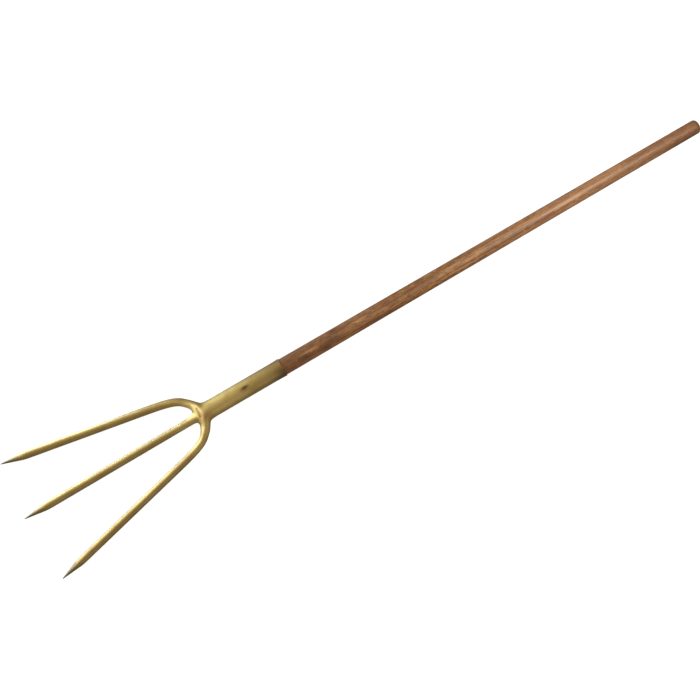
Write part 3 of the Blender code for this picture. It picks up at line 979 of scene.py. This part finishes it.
# %% The floor
FLOOR_HALF_SIZE = 6
FLOOR_DROP = 0.5 * MM


def pale_floor():
    material, tree, shader = new_material("pale_floor")
    shader.inputs["Base Color"].default_value = linear("#8A8A8A")
    shader.inputs["Roughness"].default_value = 0.9
    shader.inputs["Specular IOR Level"].default_value = 0.0
    shader.inputs["Emission Color"].default_value = linear("#FFFFFF")
    shader.inputs["Emission Strength"].default_value = 0.9
    bm = bmesh.new()
    bmesh.ops.create_grid(bm, x_segments=1, y_segments=1, size=FLOOR_HALF_SIZE)
    mesh = bpy.data.meshes.new("floor")
    bm.to_mesh(mesh)
    bm.free()
    mesh.materials.append(material)
    floor = bpy.data.objects.new("floor", mesh)
    floor.location.z = -FLOOR_DROP
    floor.visible_glossy = False
    floor.visible_shadow = False
    bpy.context.scene.collection.objects.link(floor)
    return floor


pale_floor()
print("the floor is", 2 * FLOOR_HALF_SIZE, "m wide")

# %% The lights
# Name, place and aim from the mouth, size in metres, power in watts and colour.
LIGHTS = [
    ("low window", (-0.665, 0.69, -0.125), (-0.665, 0, -0.02), (0.73, 0.9), 10.0, "#E6F6FF"),
    ("high window", (-0.7, 0.8, 0.8), (-0.2, 0, 0), (1.0, 0.8), 1.25, "#EEF6FF"),
    ("overhead", (0.72, 0, 0.9), (0.64, 0, 0), (0.28, 0.4), 8.0, "#FFF6EC"),
]


def stand_light(name, place_at, aim, size, power, colour):
    """Set up a rectangular area light that looks at its aim."""
    light = bpy.data.lights.new(name, "AREA")
    light.shape = "RECTANGLE"
    light.size, light.size_y = size
    light.energy = power
    light.color = linear(colour)[:3]
    obj = bpy.data.objects.new(name, light)
    obj.location = MOUTH + Vector(place_at)
    target = MOUTH + Vector(aim)
    obj.rotation_euler = (target - obj.location).to_track_quat("-Z", "Y").to_euler()
    bpy.context.scene.collection.objects.link(obj)


for row in LIGHTS:
    stand_light(*row)
    print(row[0], row[4], "W")

# %% [markdown]
# Metal shows the room around it more than the lights. So the world is a dim warm room that darkens towards
# the ground, with three soft bright patches in it: a wall beside the tines, a brighter one behind their
# tips, which lights the slopes that face it, and a small card on the other side. The camera itself sees
# none of that, only a plain pale backdrop.

# %% The room
ROOM = (0.36, 0.30, 0.22)
BACKDROP = "#FCFCFC"
# The direction of each bright patch, the cosines where it fades out and where it is full, and its colour.
PATCHES = [
    ((-0.45, 0.87, -0.15), 0.55, 0.95, (0.29, 0.31, 0.35)),
    ((-0.8, 0.45, 0.4), 0.72, 0.95, (2.1, 2.2, 2.1)),
    ((0.1, -0.78, 0.62), 0.88, 0.98, (0.2, 0.21, 0.22)),
]


def bright_patch(tree, heading, side, edge, heart, colour):
    """Light from one side of the room, full inside its heart and gone past its edge."""
    toward = add(tree, "ShaderNodeVectorMath", {0: heading, 1: Vector(side).normalized()},
                 operation="DOT_PRODUCT").outputs["Value"]
    share = add(tree, "ShaderNodeMapRange", {"Value": toward, "From Min": edge, "From Max": heart},
                interpolation_type="SMOOTHSTEP").outputs["Result"]
    return add(tree, "ShaderNodeVectorMath", {0: colour, "Scale": share}, operation="SCALE").outputs[0]


world = bpy.data.worlds.new("studio")
bpy.context.scene.world = world
world.use_nodes = True
sky = world.node_tree
heading = add(sky, "ShaderNodeTexCoord").outputs["Generated"]
climb = add(sky, "ShaderNodeSeparateXYZ", {0: heading}).outputs["Z"]
dusk = add(sky, "ShaderNodeMapRange", {"Value": climb, "From Min": -0.6, "From Max": 0.1, "To Min": 0.45,
                                       "To Max": 1.0}).outputs["Result"]
lit = add(sky, "ShaderNodeVectorMath", {0: ROOM, "Scale": dusk}, operation="SCALE").outputs[0]
for patch in PATCHES:
    glow = bright_patch(sky, heading, *patch)
    lit = add(sky, "ShaderNodeVectorMath", {0: lit, 1: glow}, operation="ADD").outputs[0]
seen = add(sky, "ShaderNodeLightPath").outputs["Is Camera Ray"]
shown = add(sky, "ShaderNodeMix", {0: seen, 6: lit, 7: linear(BACKDROP)}, data_type="RGBA").outputs[2]
sky.links.new(shown, sky.nodes["Background"].inputs["Color"])
bpy.context.scene.view_settings.view_transform = "Standard"
print("the room has", len(PATCHES), "bright patches")

# %% [markdown]
# ## Camera
# The camera looks straight down through a long lens, turned so that the handle rises to the right. Its
# height follows from how wide a strip of floor it has to show.

# %% The camera
LENS = 85.0
SENSOR = 36.0
VIEW_WIDTH = 1.26
VIEW_X = 120.2 * MM
VIEW_Y = -34.5 * MM
HANDLE_ANGLE = math.radians(30.21)
camera = bpy.data.objects.new("camera", bpy.data.cameras.new("camera"))
camera.data.lens = LENS
camera.data.sensor_width = SENSOR
camera.location = MOUTH + Vector((VIEW_X, VIEW_Y, AXIS_HEIGHT + VIEW_WIDTH * LENS / SENSOR))
camera.rotation_euler = (0, 0, -HANDLE_ANGLE)
bpy.context.scene.collection.objects.link(camera)
bpy.context.scene.camera = camera
print("the camera is", round(camera.location.z, 2), "m up")
